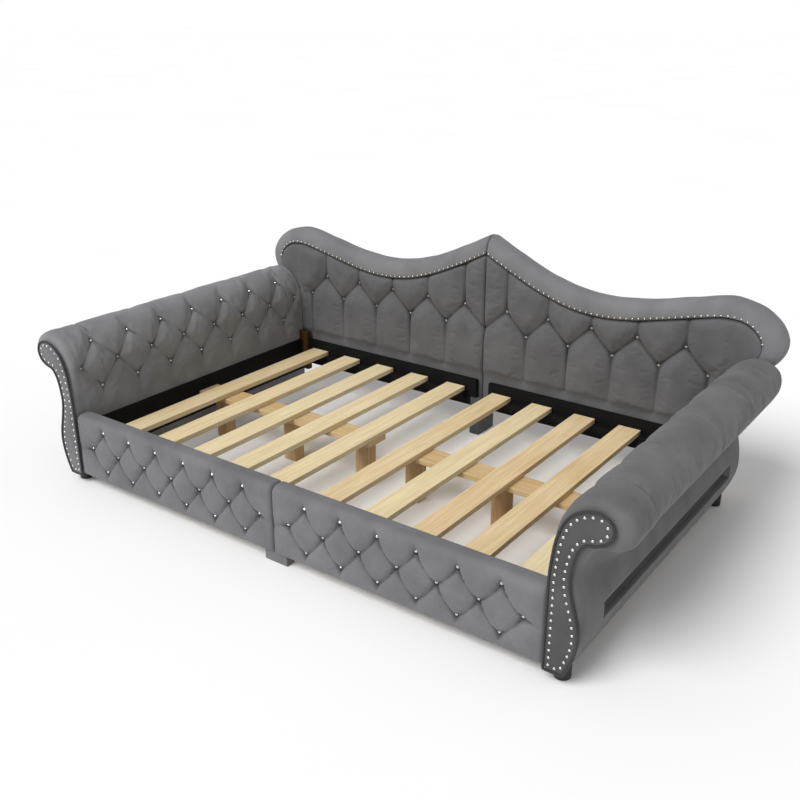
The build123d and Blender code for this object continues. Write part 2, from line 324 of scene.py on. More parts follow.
velvet = upholstery_velvet("grey_polyester_velvet", "#656567", "#747476")
rail_low, rail_high = [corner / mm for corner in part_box("front_rail_pad_right")]
rail_spacing = 5.0
rail_corner = 24.0
rail_foot_corner = 10.0
rail_end_corner = 14.0
rail_end_band = 30.0         # how far from the front and top faces the rounded end reaches
rail_end_drop = 0.8          # the end rounds over the top a little less than over the front
rail_swell = 5.0
rail_depth = 25.0
rail_button_pitch = 144.0
rail_rows = ((245.0, 136.0, 6), (166.0, 64.0, 7), (85.0, 136.0, 6))      # level, first button, count
rail_pleat_sag = 9.0
rail_pleat_middle = 0.6
rail_top_fold = 42.0
rail_side_fold_drop = 12.0
rail_reach = 50.0
rail_foot_fade = 38.0        # the cover is drawn straight along the foot, where it is stapled underneath
crease_reach = 34.0
rail_crease = 0.7
cap_move = 7 * mm            # no point of a cover settles further than this


def row_places(level, first, pitch, count):
    """Button places along one row."""
    return [(first + pitch * index, level) for index in range(count)]


def staggered_pleats(upper, lower, half_pitch, sag, middle_share):
    """The slanting folds from each button of a row to its neighbours in the row below."""
    slack = 3.0
    return [
        pleat(top, bottom, sag, middle_share=middle_share)
        for top in upper for bottom in lower
        if abs(abs(top[0] - bottom[0]) - half_pitch) < slack
    ]


def rounded_section(low, high, foot_corner, top_corner, spacing):
    """A closed outline in depth and height: up the front, over the top, down the back, along the foot."""
    turn = np.linspace(0, math.pi / 2, 7)
    inward_sin, inward_cos = 1 - np.sin(turn), 1 - np.cos(turn)
    foot = np.stack([low[1] + foot_corner * inward_sin, low[2] + foot_corner * inward_cos], -1)
    front_levels = steps_between(low[2] + foot_corner, high[2] - top_corner, spacing)[1:-1]
    front = np.stack([np.full(len(front_levels), low[1]), front_levels], -1)
    over = np.stack([low[1] + top_corner * inward_cos, high[2] - top_corner * inward_sin], -1)
    back_corner = 12.0
    behind = np.stack([high[1] - back_corner * inward_sin, high[2] - back_corner * inward_cos], -1)
    back_levels = steps_between(low[2], high[2] - back_corner, 4 * spacing)[::-1]
    back = np.stack([np.full(len(back_levels), high[1]), back_levels], -1)
    underside = np.stack([steps_between(low[1] + foot_corner, high[1], 3 * spacing)[::-1][1:-1]] * 2, -1)
    underside[:, 1] = low[2]
    return np.concatenate([foot, front, over, behind, back[1:], underside])


def rail_pad(sign, side):
    """One padded half of the front rail; sign is 1 on the right and -1 on the left."""
    section = rounded_section(rail_low, rail_high, rail_foot_corner, rail_corner, rail_spacing)
    section = section[np.r_[True, np.linalg.norm(np.diff(section, axis=0), axis=1) > 0.01]]
    around = np.r_[0, np.cumsum(np.linalg.norm(np.diff(section, axis=0), axis=1))] + rail_low[2]
    end_steps = np.array([0.0, 1.0, 3.0, 6.0, 10.0])
    places = np.concatenate([
        rail_low[0] + end_steps,
        steps_between(rail_low[0] + rail_end_corner, rail_high[0] - rail_end_corner, rail_spacing),
        rail_high[0] - end_steps[::-1],
    ])
    end_gap = np.minimum(places - rail_low[0], rail_high[0] - places)
    inset = rail_end_corner * (1 - np.sqrt(1 - np.clip(1 - end_gap / rail_end_corner, 0, 1) ** 2))
    rings = np.empty((len(places), len(section), 3))
    rings[:, :, 0] = places[:, None]
    front_band = section[:, 0] < rail_low[1] + rail_end_band
    top_band = section[:, 1] > rail_high[2] - rail_end_band
    rings[:, :, 1] = np.minimum(section[:, 0] + inset[:, None] * front_band, rail_high[1])
    rings[:, :, 2] = section[:, 1] - inset[:, None] * top_band * rail_end_drop
    buttons = [row_places(level, first, rail_button_pitch, count) for level, first, count in rail_rows]
    top, middle, bottom = buttons
    half_pitch = rail_button_pitch / 2
    side_fold_level = middle[0][1] - rail_side_fold_drop
    folds = staggered_pleats(top, middle, half_pitch, rail_pleat_sag, rail_pleat_middle)
    folds += staggered_pleats(middle, bottom, half_pitch, rail_pleat_sag, rail_pleat_middle)
    folds += [pleat((x, z), (x, z + rail_top_fold), end_share=0.1) for x, z in top]
    folds += [pleat((x, z), (x, rail_low[2] + 6), end_share=0.2) for x, z in bottom]
    folds += [pleat(middle[0], (rail_low[0] + 8, side_fold_level), end_share=0.15)]
    folds += [pleat(middle[-1], (rail_high[0] - 6, side_fold_level), end_share=0.15)]
    along_grid, around_grid = np.broadcast_arrays(places[:, None], around[None, :])
    drawn = tuft_depth(along_grid, around_grid, folds, rail_reach)
    rays = button_creases(along_grid, around_grid, top + middle + bottom, crease_reach)
    edge_fade = 40.0
    face = np.clip((rail_high[2] + 10 - around_grid) / edge_fade, 0, 1)
    face = face * np.clip(end_gap / edge_fade, 0, 1)[:, None]
    above_foot = np.clip((around_grid - rail_low[2]) / rail_foot_fade, 0, 1)
    lift = (rail_swell * face - rail_depth * drawn + rail_crease * rays * face) * above_foot
    rings += outward(rings) * lift[:, :, None]
    rings[:, :, 0] *= sign
    points, faces = loft(rings)
    piece = make_piece(f"rail_cover_{side}", points, faces, velvet)
    # Painted shade: the velvet is darkened deep in the folds.
    mark_folds(piece, drawn)
    back_side = np.clip((rings[:, :, 1] - rail_low[1]) / 34, 0, 1) ** 2
    folded = np.clip(drawn * 2.2 - 0.25, 0, 1)
    ends = np.clip(1 - end_gap / 18, 0, 1)[:, None] + 0 * drawn
    held = np.maximum.reduce([back_side, folded, ends, np.clip(1.3 - above_foot, 0, 1)])
    settle(piece, held.ravel(), cap_move)
    fix(piece, "grey_upholstery", f"front_rail_pad_{side}")


for side, sign in (("right", 1), ("left", -1)):
    rail_pad(sign, side)


# ---- Arms ----
# Each arm is a plywood core wrapped in foam: flat and tufted inside, rolled over at the top, drawn in to a
# crease outside and out again over a belly with a long slot. The cover is one piece of velvet.

arm_low, arm_high = [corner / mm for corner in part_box("arm_pad_right")]
half_length = 1000.0
floor_gap = arm_low[2]
arm_spacing = 7.0
arm_blend_end = -370.0       # ahead of this the outside follows the scroll panel; behind it is creased
arm_front_corner = 30.0
arm_depth = 16.0
arm_reach = 46.0
arm_button_pitch = 172.0
arm_first_button = -648.0
arm_rows = ((363.0, 0.5, 7), (457.0, 0.0, 8), (543.0, 0.5, 7))
arm_crease = 0.6
arm_pleat_middle = 0.55
arm_top_fold, arm_foot_fold = 40.0, 70.0
roll_ripple = 0.5
slot_span = (-557.0, 495.0)
slot_inner_wall = 72.0
# Places round the arm as (distance outward, height): up the inside, over the roll, down the outside.
rear_places = [
    (0, 42), (0, 210), (0, 380), (6, 478), (30, 529), (66, 565), (119, 584), (165, 575),
    (197, 551), (208, 516), (204, 480), (188, 445), (160, 400), (131, 355), (106, 318), (84, 284),
    (92, 258), (97, 234), (101, 206), (102, 153), (92, 113), (77, 74), (62, 42),
]
front_places = [
    (0, 42), (0, 210), (0, 380), (6, 478), (30, 529), (66, 567), (124, 586), (174, 573),
    (208, 545), (222, 508), (212, 472), (178, 448), (131, 441), (101, 421), (82, 384), (75, 335),
    (80, 290), (93, 246), (101, 206), (102, 153), (92, 113), (77, 74), (62, 42),
]
panel_places = [
    (5, 38), (5, 210), (9, 375), (26, 471), (46, 514), (80, 543), (120, 555), (144, 550),
    (162, 536), (169, 513), (157, 482), (128, 465), (98, 456), (79, 432), (64, 380), (60, 330),
    (72, 270), (86, 222), (92, 196), (94, 147), (86, 105), (75, 70), (60, 38),
]
crease_place = 15            # which of these places is the crease, and which the top edge of the slot
slot_place = 18
roll_place = 6               # the top of the roll, where the tufted inner side ends


def smooth_line(places, counts, corners=()):
    """A smooth curve through places, with so many steps in each span and sharp turns at the corners."""
    places = np.asarray(places, float)
    lengths = np.linalg.norm(np.diff(places, axis=0), axis=1)
    slopes = np.diff(places, axis=0) / lengths[:, None]
    points = []
    for span, count in enumerate(counts):
        start_slope = end_slope = slopes[span]
        if span and span not in corners:
            weight = lengths[span - 1] / (lengths[span - 1] + lengths[span])
            start_slope = slopes[span - 1] * (1 - weight) + slopes[span] * weight
        if span + 1 < len(slopes) and span + 1 not in corners:
            weight = lengths[span] / (lengths[span] + lengths[span + 1])
            end_slope = slopes[span] * (1 - weight) + slopes[span + 1] * weight
        t = np.arange(count)[:, None] / count
        points.append(
            (2 * t**3 - 3 * t**2 + 1) * places[span] + (t**3 - 2 * t**2 + t) * lengths[span] * start_slope
            + (3 * t**2 - 2 * t**3) * places[span + 1] + (t**3 - t**2) * lengths[span] * end_slope
        )
    return np.concatenate([*points, places[-1:]])


def arc_lengths(points):
    """The distance along a line of points, to each of them."""
    return np.r_[0, np.cumsum(np.linalg.norm(np.diff(points, axis=0), axis=1))]


arm_span_counts = [
    max(2, round(math.dist(a, b) / arm_spacing)) for a, b in zip(rear_places, rear_places[1:])
]
arm_corners = (1, 2)
rear_section = smooth_line(rear_places, arm_span_counts, (*arm_corners, crease_place))
front_section = smooth_line(front_places, arm_span_counts, arm_corners)
panel_section = smooth_line(panel_places, arm_span_counts, (1,))
slot_first = sum(arm_span_counts[:slot_place])
slot_last = slot_first + arm_span_counts[slot_place]


def slot_path(section):
    """The section with the slot cut into it: in at the top, down the inner wall, and out again."""
    top, bottom = section[slot_first], section[slot_last]
    corners = np.array([top, (slot_inner_wall, top[1]), (slot_inner_wall, bottom[1]), bottom])
    reached = arc_lengths(corners)
    steps = np.linspace(0, reached[-1], slot_last - slot_first + 1)
    cut = section.copy()
    cut[slot_first:slot_last + 1] = np.stack([np.interp(steps, reached, corners[:, i]) for i in (0, 1)], -1)
    return cut


def arm_pad(sign, side, cover_velvet):
    """The padded cover of one arm, in its own velvet tone; the two arms' tones are painted light and shade.
    """
    rear_corner = 8.0
    front_tuck = 6.0             # the cover runs on behind the scroll panel
    turn = np.linspace(math.pi / 2, 0, 8)
    wrapped = [
        front_section + (panel_section - front_section) * (1 - math.cos(angle)) for angle in turn
    ]
    wrapped_depths = [arm_low[1] + arm_front_corner * (1 - math.sin(angle)) - front_tuck for angle in turn]
    depths = steps_between(wrapped_depths[-1] + arm_spacing, arm_high[1] - rear_corner, arm_spacing)
    edge_step, edge_room = 0.4, 3.0
    slot_ends = [y for edge in slot_span for y in (edge - edge_step, edge + edge_step)]
    clear_depths = [y for y in depths if min(abs(y - edge) for edge in slot_span) > edge_room]
    depths = np.sort(np.r_[clear_depths, slot_ends])
    sections, places = list(wrapped), list(wrapped_depths)
    for y in depths:
        share = np.clip((y - places[len(turn) - 1]) / (arm_blend_end - places[len(turn) - 1]), 0, 1)
        share = share * share * (3 - 2 * share)
        section = front_section * (1 - share) + rear_section * share
        inside_slot = slot_span[0] < y < slot_span[1]
        sections.append(slot_path(section) if inside_slot else section)
        places.append(y)
    mean_radius = 90.0
    middle = rear_section.mean(0)
    for angle in np.linspace(0, math.pi / 2, 4)[1:]:
        shrink = 1 - rear_corner * (1 - math.cos(angle)) / mean_radius
        sections.append(middle + (rear_section - middle) * shrink)
        places.append(arm_high[1] - rear_corner * (1 - math.sin(angle)))
    sections, places = np.array(sections), np.array(places)
    rings = np.empty((*sections.shape[:2], 3))
    rings[:, :, 0] = half_length + sections[:, :, 0]
    rings[:, :, 1] = places[:, None]
    rings[:, :, 2] = np.maximum(sections[:, :, 1], floor_gap)

    around = arc_lengths(rear_section)
    inner_side = slice(0, sum(arm_span_counts[:roll_place]))
    rows = []
    for level, first, count in arm_rows:
        reached = np.interp(level, rear_section[inner_side, 1], around[inner_side])
        rows.append([(arm_first_button + (first + i) * arm_button_pitch, reached) for i in range(count)])
    lower, middle, upper = rows
    folds = staggered_pleats(middle, lower, arm_button_pitch / 2, 0, arm_pleat_middle)
    folds += staggered_pleats(upper, middle, arm_button_pitch / 2, 0, arm_pleat_middle)
    folds += [pleat((y, reached), (y, reached + arm_top_fold), end_share=0.0) for y, reached in upper]
    folds += [pleat((y, reached), (y, reached - arm_foot_fold), end_share=0.0) for y, reached in lower]
    along_grid, around_grid = np.broadcast_arrays(places[:, None], around[None, :])
    drawn = tuft_depth(along_grid, around_grid, folds, arm_reach)
    rays = button_creases(along_grid, around_grid, lower + middle + upper, crease_reach)
    front_fade = np.clip((places - places[0]) / 40, 0, 1)
    rear_fade = np.clip((places[-1] - places) / 30, 0, 1)
    shares = np.minimum(front_fade, rear_fade)[:, None]
    roll_top = around[inner_side.stop]
    lift = (-arm_depth * drawn + arm_crease * rays * (around_grid < roll_top)) * shares
    # The cover ripples a little over the roll, unevenly along the arm.
    over_roll = np.exp(-((around_grid - (roll_top + 40)) / 110) ** 2)
    ripple = np.sin(places * 0.073 + 1.3 * np.sin(places * 0.021))[:, None] * over_roll
    lift = lift + roll_ripple * ripple * shares
    rings += outward(rings) * lift[:, :, None]
    rings[:, :, 0] *= sign
    points, faces = loft(rings)
    piece = make_piece(f"arm_cover_{side}", points, faces, cover_velvet)
    # Painted shade: the velvet is darkened deep in the folds.
    mark_folds(piece, drawn * shares)
    outside = 0.97 * np.clip((around_grid - roll_top - 150) / 120, 0, 1)
    nailed = np.clip(1 - (along_grid - places[0]) / 50, 0, 1)
    behind = np.clip(1 - (places[-1] - along_grid) / 40, 0, 1)
    foot = np.clip(1 - around_grid / 60, 0, 1)
    folded = np.clip(drawn * 2.4 - 0.2, 0, 1)
    held = np.maximum.reduce([outside, nailed, behind, foot, folded])
    settle(piece, held.ravel(), cap_move)
    fix(piece, "grey_upholstery", f"arm_pad_{side}")


# Painted light and shade: the right arm's velvet is painted darker than the rails', the left arm's lighter.
arm_pad(1, "right", upholstery_velvet("grey_velvet_painted_shade_right_arm", "#5b5b5c", "#6a6a6b"))
arm_pad(-1, "left", upholstery_velvet("grey_velvet_painted_light_left_arm", "#767678", "#878789"))


# ---- Scroll panels ----
# Thin plywood panels cut to the arm's scroll, covered in the same velvet over a skin of wadding,
# and pushed on over the folded front edge of the arm's cover.

panel_low, panel_high = [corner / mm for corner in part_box("arm_fascia_right")]
panel_steps = [          # inset from the outline, and depth from the panel's face
    (0.0, panel_high[1] - panel_low[1]), (0.0, 4.0), (1.2, 1.2), (4.0, 0.0), (10.0, 0.4), (13.0, 1.0),
    (16.0, 0.2), (22.0, -1.4),
]


def evened(points, spacing):
    """A closed line of points, spaced evenly."""
    closed = np.concatenate([points, points[:1]])
    reached = arc_lengths(closed)
    steps = np.linspace(0, reached[-1], round(reached[-1] / spacing) + 1)[:-1]
    return np.stack([np.interp(steps, reached, closed[:, i]) for i in range(closed.shape[1])], -1)


def shift_outline(outline, distance):
    """A closed outline moved outward by a distance, or inward by a negative one. Points that would cross
    over at a corner are closed up into a mitre instead."""
    tangent = np.roll(outline, -1, 0) - np.roll(outline, 1, 0)
    tangent /= np.maximum(np.linalg.norm(tangent, axis=1, keepdims=True), 1e-9)
    normal = np.stack([-tangent[:, 1], tangent[:, 0]], -1)
    moved = outline + normal * distance
    gap = np.linalg.norm(moved[:, None] - evened(outline, 1.0)[None], axis=2).min(1)
    clear = np.flatnonzero(gap > 0.97 * abs(distance))
    index = np.arange(len(moved))
    return np.stack([np.interp(index, clear, moved[clear, i], period=len(moved)) for i in (0, 1)], -1)


panel_outline = evened(panel_section, 5.0)
# Painted shade: both scroll panels are painted darker than the rails, the right one darker still.
right_panel_velvet = upholstery_velvet("grey_velvet_painted_shade_right_panel", "#484748", "#545354")
left_panel_velvet = upholstery_velvet("grey_velvet_painted_shade_left_panel", "#626163", "#706f71")
for side, sign, panel_velvet in (("right", 1, right_panel_velvet), ("left", -1, left_panel_velvet)):
    rings = []
    for inset, depth in panel_steps:
        edge = shift_outline(panel_outline, -inset)
        rings.append(np.stack([
            sign * (half_length + edge[:, 0]), np.full(len(edge), panel_low[1] + depth), edge[:, 1]
        ], -1))
    panel = make_piece(f"scroll_panel_{side}", *loft(np.array(rings)), panel_velvet)
    fix(panel, "grey_upholstery", f"arm_fascia_{side}")


# ---- Welts ----
# A cord sewn into a strip of darker cloth runs round each scroll panel. It hides the panel's cut edge,
# and the strip is stapled on behind the panel.

welt_low, welt_high = [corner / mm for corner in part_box("arm_welt_right")]


def welt_cloth():
    """Charcoal polyester cord cover, plain woven and sewn tight: matt, with a fine twist of threads
    across the cord, drawn at 3 mm so that it shows."""
    material, tree, surface = new_material("charcoal_welt_cloth")
    place = add_node(tree, "ShaderNodeTexCoord").outputs["Object"]
    twist = add_node(tree, "ShaderNodeTexWave", {
        "Vector": place, "Scale": 0.314 / (3 * mm) / 2, "Distortion": 1.0
    }, bands_direction="DIAGONAL")
    tint = add_node(tree, "ShaderNodeValToRGB", {"Fac": twist.outputs["Fac"]})
    tint.color_ramp.elements[0].color = paint("#1f1f21")
    tint.color_ramp.elements[1].color = paint("#343437")
    bump = add_node(tree, "ShaderNodeBump", {
        "Height": twist.outputs["Fac"], "Strength": 0.4, "Distance": 0.5 * mm
    })
    shader = add_node(tree, "ShaderNodeBsdfPrincipled", {
        "Base Color": tint.outputs["Color"], "Roughness": 0.8, "Sheen Weight": 0.1,
        "Normal": bump.outputs["Normal"],
    })
    tree.links.new(shader.outputs["BSDF"], surface)
    return material


def new_geometry_tree(name, sizes):
    """A geometry nodes tree with named number inputs, its input node, and its output socket."""
    tree = bpy.data.node_groups.new(name, "GeometryNodeTree")
    tree.interface.new_socket("Geometry", in_out="INPUT", socket_type="NodeSocketGeometry")
    for size in sizes:
        tree.interface.new_socket(size, in_out="INPUT", socket_type="NodeSocketFloat")
    tree.interface.new_socket("Geometry", in_out="OUTPUT", socket_type="NodeSocketGeometry")
    given = add_node(tree, "NodeGroupInput")
    made = add_node(tree, "NodeGroupOutput")
    return tree, given.outputs, made.inputs["Geometry"]


def run_tree(name, data, tree, **sizes):
    """Runs a geometry tree on a mesh or curve and keeps the result as a plain mesh piece."""
    source = bpy.data.objects.new(name + "_source", data)
    bpy.context.scene.collection.objects.link(source)
    modifier = source.modifiers.new("build", "NODES")
    modifier.node_group = tree
    for socket in tree.interface.items_tree:
        if socket.in_out == "INPUT" and socket.name in sizes:
            modifier[socket.identifier] = sizes[socket.name]
    evaluated = source.evaluated_get(bpy.context.evaluated_depsgraph_get())
    mesh = bpy.data.meshes.new_from_object(evaluated)
    bpy.data.objects.remove(source)
    piece = bpy.data.objects.new(name, mesh)
    bpy.context.scene.collection.objects.link(piece)
    return piece


def cord_tree(name, material):
    """Follows a curve with a round cord."""
    tree, given, made = new_geometry_tree(name, ["Radius"])
    profile = add_node(tree, "GeometryNodeCurvePrimitiveCircle", {
        "Resolution": 10, "Radius": given["Radius"]
    })
    cord = add_node(tree, "GeometryNodeCurveToMesh", {
        "Curve": given["Geometry"], "Profile Curve": profile.outputs["Curve"], "Fill Caps": True
    })
    real = add_node(tree, "GeometryNodeRealizeInstances", {"Geometry": cord.outputs["Mesh"]})
    dressed = add_node(tree, "GeometryNodeSetMaterial", {
        "Geometry": real.outputs["Geometry"], "Material": material
    })
    tree.links.new(dressed.outputs["Geometry"], made)
    return tree


def closed_curve(name, points):
    """A closed curve through points in millimetres."""
    curve = bpy.data.curves.new(name, "CURVE")
    curve.dimensions = "3D"
    line = curve.splines.new("POLY")
    line.points.add(len(points) - 1)
    line.points.foreach_set("co", np.c_[points * mm, np.ones(len(points))].ravel())
    line.use_cyclic_u = True
    return curve


welt_tree = cord_tree("sewn_welt", welt_cloth())
welt_radius = (welt_high[1] - welt_low[1]) / 2
for side, sign in (("right", 1), ("left", -1)):
    edge = shift_outline(panel_outline, welt_radius - 1.5)
    edge = np.stack([
        sign * (half_length + edge[:, 0]), np.full(len(edge), welt_low[1] + welt_radius), edge[:, 1]
    ], -1)
    welt = run_tree(f"welt_{side}", closed_curve("welt", edge), welt_tree, Radius=welt_radius * mm)
    fix(welt, "welt_cord", f"arm_welt_{side}")


# ---- Back ----
# Each half is a plywood panel with foam in sewn channels, its buttons pulled through in two staggered
# rows. A thick roll of padding follows the top edge and curls round the ear at the arm.

panel_front, panel_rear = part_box("back_pad_right")[0].y / mm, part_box("back_pad_right")[1].y / mm
back_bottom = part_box("back_pad_right")[0].z / mm
rim_front, rim_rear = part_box("back_rim_right")[0].y / mm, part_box("back_rim_right")[1].y / mm
seam_gap = 0.5
back_spacing = 6.0
# Painted light and shade: the back panel's velvet is painted darker than the rails', the roll's lighter.
back_velvet = upholstery_velvet("grey_velvet_painted_shade_back", "#565658", "#646466")
rim_velvet = upholstery_velvet("grey_velvet_painted_light_rim", "#6b6b6d", "#7b7b7d")
back_swell = 8.0
back_depth = 25.0
back_reach = 62.0
back_edge_fall, back_edge_reach = 9.0, 12.0
back_seam_fall, back_seam_reach = 14.0, 16.0
back_crease, back_crease_reach = 0.7, 36.0
back_button_pitch = 188.0
back_lower_row = (475.0, 194.0, 5)       # level, first button, count
back_upper_row = (567.0, 101.0, 5)
channel_foot, channel_fade = 285.0, 18.0
rim_outer_places = [
    (seam_gap, 868), (140, 799), (290, 735), (480, 696), (680, 708), (860, 746), (1010, 771),
    (1110, 744), (1175, 690), (1199, 635), (1185, 580), (1140, 528), (1060, 505),
]
rim_inner_places = [
    (seam_gap, 795), (125, 732), (257, 674), (388, 634), (520, 622), (650, 634), (780, 662),
    (900, 690), (985, 706), (1060, 697), (1108, 660), (1124, 615), (1105, 572), (1060, 548),
]
rim_steps = 24               # points of the smooth line from one of these places to the next
ear_tip = 11                 # the widest place of the inner line


def smooth_fall(value, low, high):
    """0 below low, 1 above high, and a smooth slope between."""
    t = np.clip((value - low) / (high - low), 0, 1)
    return t * t * (3 - 2 * t)


inner_line = smooth_line(rim_inner_places, [rim_steps] * (len(rim_inner_places) - 1))
outer_line = smooth_line(rim_outer_places, [rim_steps] * (len(rim_outer_places) - 1))
upper_edge, lower_edge = inner_line[:rim_steps * ear_tip + 1], inner_line[rim_steps * ear_tip:][::-1]


def back_panel(sign, side):
    """The padded panel of one half of the back."""
    ear_start = rim_inner_places[-1][0]
    widest = upper_edge[-1, 0]
    places = np.concatenate([
        seam_gap + np.array([0.0, 1.0, 3.0, 6.0]), steps_between(seam_gap + 10, ear_start - 1, back_spacing),
        steps_between(ear_start + 1, widest - 1, back_spacing),
    ])
    top = np.interp(places, upper_edge[:, 0], upper_edge[:, 1]) - 1
    under_ear = np.interp(places, lower_edge[:, 0], lower_edge[:, 1]) + 1
    foot = np.where(places < ear_start, back_bottom, under_ear)
    rise = np.linspace(0, 1, 112)
    rear_rise = np.linspace(1, 0, 8)
    whole_levels = back_bottom + (top[:, None] - back_bottom) * rise
    front_levels = np.maximum(whole_levels, foot[:, None] + 0.01 * np.arange(len(rise)))
    rear_levels = foot[:, None] + (top - foot)[:, None] * rear_rise
    rings = np.empty((len(places), len(rise) + len(rear_rise), 3))
    rings[:, :, 0] = places[:, None]
    rings[:, :, 2] = np.concatenate([front_levels, rear_levels], 1)
    rings[:, :len(rise), 1] = panel_front
    rings[:, len(rise):, 1] = panel_rear
    upper = row_places(*back_upper_row[:2], back_button_pitch, back_upper_row[2])
    lower = row_places(*back_lower_row[:2], back_button_pitch, back_lower_row[2])
    folds = staggered_pleats(upper, lower, back_button_pitch / 2, 0, 0.7)
    folds += [pleat(upper[0], (seam_gap, lower[0][1] + 4), end_share=0.8, middle_share=0.8)]
    for x, z in upper:
        rim_level = np.interp(x, upper_edge[:, 0], upper_edge[:, 1])
        folds.append(pleat((x, z), (x, rim_level - 4), end_share=0.8, middle_share=0.8))
    folds += [pleat((x, z), (x, channel_foot), end_share=0.6, middle_share=0.85) for x, z in lower]
    along_grid = np.repeat(places[:, None], len(rise), 1)
    drawn = tuft_depth(along_grid, front_levels, folds, back_reach)
    rays = button_creases(along_grid, front_levels, upper + lower, back_crease_reach)
    padded_share = smooth_fall(front_levels, channel_foot - channel_fade, channel_foot + channel_fade)
    seam = 1 - np.sqrt(1 - np.clip(1 - (along_grid - seam_gap) / back_seam_reach, 0, 1) ** 2)
    edge = np.exp(-((top[:, None] - front_levels) / back_edge_reach) ** 2)
    fall = back_depth * drawn + back_seam_fall * seam + back_edge_fall * edge
    fall = fall - back_swell * padded_share - back_crease * rays
    fall = np.where(front_levels < channel_foot - channel_fade, np.maximum(fall, 0), fall)
    rings[:, :len(rise), 1] += fall
    rings[:, :, 0] *= sign
    piece = make_piece(f"back_panel_{side}", *loft(rings), back_velvet)
    # Painted shade: the velvet is darkened deep in the folds and along the top edge under the roll.
    folded = np.zeros(rings.shape[:2])
    folded[:, :len(rise)] = np.maximum(drawn, 0.8 * edge)
    mark_folds(piece, folded)
    at_folds = np.clip(drawn * 2.2 - 0.2, 0, 1)
    at_edge, at_seam = np.clip(edge * 1.5, 0, 1), np.clip(seam * 3, 0, 1)
    in_ear = smooth_fall(along_grid, 1000, 1050)
    held = np.ones(rings.shape[:2])
    held[:, :len(rise)] = np.maximum.reduce([at_folds, 1 - padded_share, at_edge, at_seam, in_ear])
    settle(piece, held.ravel(), cap_move)
    fix(piece, "grey_upholstery", f"back_pad_{side}")


def back_rim(sign, side):
    """The padded roll along the top of one half of the back."""
    count = 190
    share = np.linspace(0, 1, count)
    inner_reach, outer_reach = arc_lengths(inner_line), arc_lengths(outer_line)
    inner = np.stack([np.interp(share * inner_reach[-1], inner_reach, inner_line[:, i]) for i in (0, 1)], -1)
    outer = np.stack([np.interp(share * outer_reach[-1], outer_reach, outer_line[:, i]) for i in (0, 1)], -1)
    turn = np.linspace(0, math.pi, 27)
    fullness = 2 / 2.5           # a little squarer than an ellipse
    end_depth, end_reach = 0.16, 12.0
    middle, half_depth = (rim_front + rim_rear) / 2, (rim_rear - rim_front) / 2
    depth = middle - half_depth * np.sign(np.cos(turn)) * np.abs(np.cos(turn)) ** fullness
    rise = np.abs(np.sin(turn)) ** fullness
    under = np.linspace(rim_rear, rim_front, 6)[1:-1]
    end_gap = np.minimum(np.arange(count), np.arange(count)[::-1]) * outer_reach[-1] / (count - 1)
    pinch = 1 - end_depth * (1 - np.sqrt(1 - np.clip(1 - end_gap / end_reach, 0, 1) ** 2))
    reached = share * outer_reach[-1]
    gathers = 1 + 0.008 * np.sin(reached * 0.05) * np.sin(reached * 0.013)
    rings = np.empty((count, len(turn) + len(under), 3))
    span = (outer - inner) * (pinch * gathers)[:, None]
    for axis, column in ((0, 0), (1, 2)):
        rings[:, :len(turn), column] = inner[:, None, axis] + span[:, None, axis] * rise[None, :]
        rings[:, len(turn):, column] = inner[:, None, axis]
    rings[:, :len(turn), 1] = middle + (depth - middle)[None, :] * pinch[:, None]
    rings[:, len(turn):, 1] = under
    rings[:, :, 0] *= sign
    piece = make_piece(f"back_roll_{side}", *loft(rings), rim_velvet)
    fix(piece, "grey_upholstery", f"back_rim_{side}")


for side, sign in (("right", 1), ("left", -1)):
    back_panel(sign, side)
    back_rim(sign, side)


# ---- Rear covers ----
# Black non-woven cloth closes the open back of the frame. It is cut to the panel's shape, stretched
# over the battens and stapled.

def dust_cloth():
    """Spun polypropylene cloth, heat-bonded in a grid of small dots: matt black, dimpled every 3 mm."""
    material, tree, surface = new_material("spun_dust_cloth")
    place = add_node(tree, "ShaderNodeTexCoord").outputs["Object"]
    dots = add_node(tree, "ShaderNodeTexVoronoi", {
        "Vector": place, "Scale": 1 / (3 * mm), "Randomness": 0.15
    })
    tint = add_node(tree, "ShaderNodeValToRGB", {"Fac": dots.outputs["Distance"]})
    tint.color_ramp.elements[0].color = paint("#151516")
    tint.color_ramp.elements[1].color = paint("#242426")
    bump = add_node(tree, "ShaderNodeBump", {
        "Height": dots.outputs["Distance"], "Strength": 0.3, "Distance": 0.4 * mm
    })
    shader = add_node(tree, "ShaderNodeBsdfPrincipled", {
        "Base Color": tint.outputs["Color"], "Roughness": 0.75, "Normal": bump.outputs["Normal"],
    })
    tree.links.new(shader.outputs["BSDF"], surface)
    return material


dust_cover_cloth = dust_cloth()
cover_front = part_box("back_cover_right")[0].y / mm
cover_thickness = 1.2
cover_outline = np.concatenate([
    [(seam_gap + 1, back_bottom + 1), (rim_inner_places[-1][0], back_bottom + 1)],
    inner_line[::-8] * (1, 1) - (0, 2),
])
for side, sign in (("right", 1), ("left", -1)):
    rings = np.array([
        np.stack([sign * cover_outline[:, 0], np.full(len(cover_outline), depth), cover_outline[:, 1]], -1)
        for depth in (cover_front + 1, cover_front + 1 + cover_thickness)
    ])
    cover = make_piece(f"rear_cover_{side}", *loft(rings), dust_cover_cloth, smooth=False)
    fix(cover, "dust_cover", f"back_cover_{side}")


# ---- Nail heads and buttons ----
# Domed steel nails, nickel plated, are driven through the velvet a thumb's width apart. The buttons
# are cut glass in a plated cup, and a cord pulls each one down into the padding.

